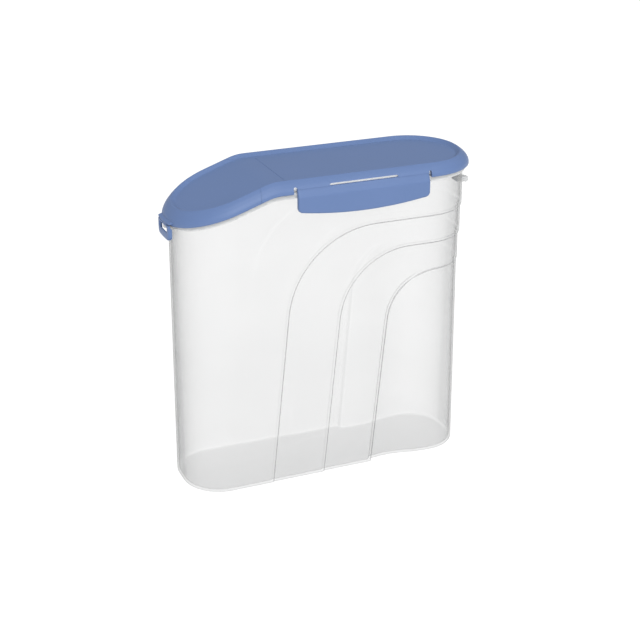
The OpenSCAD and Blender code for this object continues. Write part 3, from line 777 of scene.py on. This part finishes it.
# The shoulder's section as [depth, height], which shrinks toward its middle over the last tenth at
# either end by a quarter circle, sqrt(1 - t^2)
shoulder = soften([(3.0, shoulder_low + 0.6), (3.4, shoulder_low), (0, shoulder_low),
                   (0.2, shoulder_low + 0.8), (4.6, shoulder_low + 2.2), (4.6, shoulder_low + 1.2),
                   (3.0, shoulder_low + 0.6)], [0.1, 0.6, 1.0, 0.2, 0.2], steps=4)
across = np.sin(np.linspace(-1, 1, 33) * np.pi / 2)
swell = np.sqrt(1 - np.clip((abs(across) - 0.9) / 0.1, 0, 1) ** 2)
centre, least_size = np.array([2.4, shoulder_low + 0.7]), 0.72
shoulder_rows = centre + (shoulder - centre) * (least_size + (1 - least_size) * swell)[:, None, None]
shoulder_grid = on_tab(across[:, None] * tab_w / 2, shoulder_rows[:, :, 0], shoulder_rows[:, :, 1])
flap_parts = both([flap_ring, flap_top, flap_low, fold_edge])
flap_parts += [shoulder_grid, shoulder_grid[0], shoulder_grid[-1]]
flap = make("SpoutFlap", flap_parts, blue, bevel=moulded_edge)
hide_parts("spout_flap")
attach(flap, "spout_flap")

# ---------------------------------------------------------------- latch tab
# A dished tab with a window, folded down from the shoulder so that the window hooks over the
# tub's short lug. Its sides and lower edge turn in as a stiffening flange.
tab_low, tab_top, tab_low_r, tab_top_r = 213.38, 225.78, 4.0, 0.8
tab_t, flange_end = 1.6, 2.0
window_w, window_low, window_top, window_r = 19.0, 219.08, 224.28, 1.0


def loop(width, low, high, low_r, high_r):
    """A closed outline as (y, z) points: corners r (cos a, sin a), and straight sides between them."""
    half = width / 2
    corners, rows = [], []
    for cy, cz, r, a in ((half - low_r, low + low_r, low_r, -90), (half - high_r, high - high_r, high_r, 0),
                         (high_r - half, high - high_r, high_r, 90), (low_r - half, low + low_r, low_r, 180)):
        turn = np.radians(a + np.linspace(0, 90, 7))
        corners.append(np.stack([cy + r * np.cos(turn), cz + r * np.sin(turn)], axis=1))
    for here, after in zip(corners, corners[1:] + corners[:1]):
        a, b = here[-1], after[0]
        rows += [here, a + (b - a) * np.linspace(0, 1, 8)[1:-1, None]]
    return np.concatenate(rows + [corners[0][:1]])


def tab_loop(inset, depth):
    """The tab's outline moved in by inset at a depth. The flange is left out along the top edge."""
    yz = loop(tab_w - 2 * inset, tab_low + inset, tab_top - inset,
              max(tab_low_r - inset, 0.5), max(tab_top_r - inset, 0.3))
    deep = np.where(yz[:, 1] > tab_top - flange_end - inset, np.minimum(depth, tab_t), depth)
    return on_tab(yz[:, 0], deep, yz[:, 1])


def window_loop(grow, depth):
    """The window's outline grown by grow at a depth."""
    yz = loop(window_w + 2 * grow, window_low - grow, window_top + grow, window_r + grow, window_r + grow)
    return on_tab(yz[:, 0], depth, yz[:, 1])


# From the panel's back round the flange to the face, then through the window to the back again,
# as (inset, depth) and (grow, depth)
round_flange = [(tab_t, tab_t), (1.6, 2.8), (1.4, 3.0), (0.2, 3.0), (0.0, 2.8), (0.0, 0.9),
                (0.12, 0.45), (0.4, 0.15), (0.9, 0.0)]
through_window = [(0.5, 0.0), (0.15, 0.1), (0.0, 0.4), (0.0, 1.4), (0.2, tab_t)]
tab_loops = [tab_loop(*at) for at in round_flange] + [window_loop(*at) for at in through_window]
tab = make("LatchTab", [np.array(tab_loops + tab_loops[:1])], blue)
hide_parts("latch_tab")
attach(tab, "latch_tab")

# ---------------------------------------------------------------- side clips
# Two long clips that swing down over the collar: each panel leans out with the rim, then hangs
# straight, with a bowed lower edge, rounded and turned in, and two catches on its back.
clip_out, clip_t = 1.9, 1.8
clip_low, clip_bow, clip_corner = 235.0, 4.0, 4.0
clip_mid, clip_flat = 19.2, 51.9
bow_r = (clip_flat**2 + clip_bow**2) / (2 * clip_bow)
clip_top = hinge_z - 0.62
edge_r, turned_in, lip_t, lip_reach = 1.2, 1.3, 1.5, 4
knee_z = 247.46
catch_middles, catch_half = (-8.75, 47.15), 15
# The panel's outer face as [distance in, height], from under its lower edge to over its top
clip_line = soften([(face_at(256.0), 256.0), (-clip_out, knee_z), (-clip_out, 226.0)], [3.5], steps=8)[::-1]


def clip_edge(x, inset):
    """Height of the clip's lower edge at x: a long bow low + r - sqrt(r^2 - offset^2), and a quarter
    circle at each corner."""
    off = abs(x - clip_mid)
    bow = clip_low - clip_bow + bow_r - np.sqrt(bow_r**2 - np.minimum(off, clip_flat) ** 2)
    turn = np.clip(off - clip_flat, 0, clip_corner - inset)
    return bow + inset + (clip_corner - inset) - np.sqrt((clip_corner - inset) ** 2 - turn**2)


def clip_grid(inset):
    """Columns and rows over the clip's outline moved in by inset, close together at its edges, round
    the slot and at the knee: x, z and the distance to the edge."""
    near = np.array([0, 0.05, 0.2, 0.5, 0.9, 1.4, 2.2, 3.1])
    knee = np.array([248.9, 248.4, 247.9, 247.4, 246.9, 246.4, 245.9])
    left, right = clip_left + inset, clip_right - inset
    ends = slot_left + np.concatenate([[-tick], slot_turn, [slot_r]])
    inner = np.concatenate([np.linspace(clip_left + 6, slot_left - 1, 5), ends,
                            np.linspace(slot_left + 4, slot_right - 4, 10),
                            (slot_left + slot_right - ends)[::-1],
                            np.linspace(slot_right + 1, clip_right - 6, 5)])
    x = np.concatenate([left + near, [left + 4.2], inner, [right - 4.2], (right - near)[::-1]])
    nearest = np.clip(x, slot_left + slot_r, slot_right - slot_r)
    cut = np.sqrt(np.maximum(slot_r**2 - (x - nearest) ** 2, 0))
    top = np.minimum(clip_top, hinge_z - cut * (cut > 0))
    low = clip_edge(x, inset)
    upper = top[:, None] + (knee[0] - top[:, None]) * np.linspace(0, 1, 6)[None, :-1]
    lower_end = low[:, None] + near[None, ::-1]
    middle = knee[-1] + (lower_end[:, :1] - knee[-1]) * np.linspace(0, 1, 7)[None, 1:-1]
    z = np.concatenate([upper, np.repeat(knee[None], len(x), axis=0), middle, lower_end], axis=1)
    x = np.repeat(x[:, None], z.shape[1], axis=1)
    side = np.minimum(x - left, right - x)
    above = z - clip_edge(np.clip(x, clip_mid - clip_flat, clip_mid + clip_flat), inset)
    r = clip_corner - inset
    corner = r - np.hypot(np.clip(r - side, 0, None), np.clip(r - above, 0, None))
    return x, z, np.where((side < r) & (above < r), np.maximum(corner, 0), np.minimum(side, above))


def clip_points(x, z, depth):
    """Points of a front clip: its leaning then upright face, moved in by depth."""
    d = np.interp(z, clip_line[:, 1], clip_line[:, 0])
    return points(x, -(rim_half - d) + depth, z)


def rim_loop(grid):
    """A grid's left side, lower edge and right side as one line."""
    return np.concatenate([grid[0], grid[1:-1, -1], grid[-1][::-1]])


def turned(line):
    """A line moved in to the flange's lip, where that is further in than the panel's back."""
    y = np.maximum(line[:, 1], np.minimum(-(rim_half - turned_in), line[:, 1] + lip_reach))
    return points(line[:, 0], y, line[:, 2])


# The face's edge is rounded: r - sqrt(r^2 - (r - distance)^2) deep within r of the edge
x, z, edge = clip_grid(0.0)
clip_face = clip_points(x, z, edge_r - np.sqrt(edge_r**2 - np.clip(edge_r - edge, 0, edge_r) ** 2))
x, z, _ = clip_grid(lip_t)
clip_back = clip_points(x, z, clip_t)
outer_rim, inner_rim = rim_loop(clip_face), rim_loop(clip_back)
lip_outer = turned(clip_points(outer_rim[:, 0], outer_rim[:, 2], clip_t))
lip_inner = turned(inner_rim)
flange = np.stack([outer_rim, lip_outer, lip_inner, inner_rim], axis=1)
clip_parts = [clip_face, flange, clip_back, np.stack([clip_face[:, 0], clip_back[:, 0]], axis=1),
              flange[0], flange[-1]]
# A catch's section as [distance from the middle, height]: its flat top lies under the collar
catch = np.array([(46.3, 245.8), (44.6, 245.8), (44.5, 245.6), (44.5, 244.6), (46.9, 242.2), (48.9, 242.2),
                  (48.9, 245.8)])
for middle in catch_middles:
    clip_parts += tube(points(middle + catch_half * np.array([[-1], [1]]), -catch[:, 0], catch[:, 1]))
for name, side in (("front_clip", 1), ("back_clip", -1)):
    parts = [part * np.array([1, side, 1]) for part in clip_parts]
    clip = make(name.title().replace("_", ""), parts, blue, bevel=0.1)
    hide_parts(name)
    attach(clip, name)

# ---------------------------------------------------------------- folding webs
# Where the moulding folds it is thinned to a flexible web. Each web lies a hair under the faces
# that it joins.
web_t, web_rows = 0.9, 9
clip_web_under, spout_web_under, latch_web_under = 0.05, 0.15, 0.5
clip_web_gap, spout_web_half, latch_web_half = 0.06, 31.9, 8
clip_web_z, clip_fold_y = (255.2, 253.6), 45.2


def strip(across, out, along, place):
    """A closed strip of thickness web_t under the height out: across is where it starts and ends over
    the fold, along the same for its length, and place(along, across, out) gives the points."""
    there = np.linspace(*across, web_rows)
    there_and_back = np.concatenate([there, there[::-1]])
    height = np.repeat([out, out - web_t], web_rows)
    return tube(place(np.linspace(*along, web_rows)[:, None], there_and_back, height))


def on_rim(x, z, out):
    """A point on the rim's leaning face at x and height z, moved out by out."""
    return points(x, -(rim_half - face_at(z)) - out, z)


def web(name, parts, node):
    """Makes a web from its parts, hides the CAD node that it stands for and bakes its place into its points.
    """
    obj = make(name, parts, blue)
    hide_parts(node)
    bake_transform(obj)


clip_webs = [part for along in ((clip_left + clip_web_gap, slot_left - clip_web_gap),
                                (slot_right + clip_web_gap, clip_right - clip_web_gap))
             for part in strip(clip_web_z, -clip_web_under, along, on_rim)]
for name, body, side in (("FrontClipWeb", "front_clip", 1), ("BackClipWeb", "back_clip", -1)):
    web(name, [part * np.array([1, side, 1]) for part in clip_webs], body + "_hinge")

spout_web = strip((fold_x + 0.35, fold_x - 0.9), deck_z - spout_web_under, (-spout_web_half, spout_web_half),
                  lambda y, x, z: points(x, y, z))
web("SpoutWeb", spout_web, "spout_hinge")

latch_web = strip((axis_z + 0.45, axis_z - 1.0), -latch_web_under, (-latch_web_half, latch_web_half),
                  lambda y, z, out: on_tab(y, -out, z))
web("LatchWeb", latch_web, "latch_hinge")
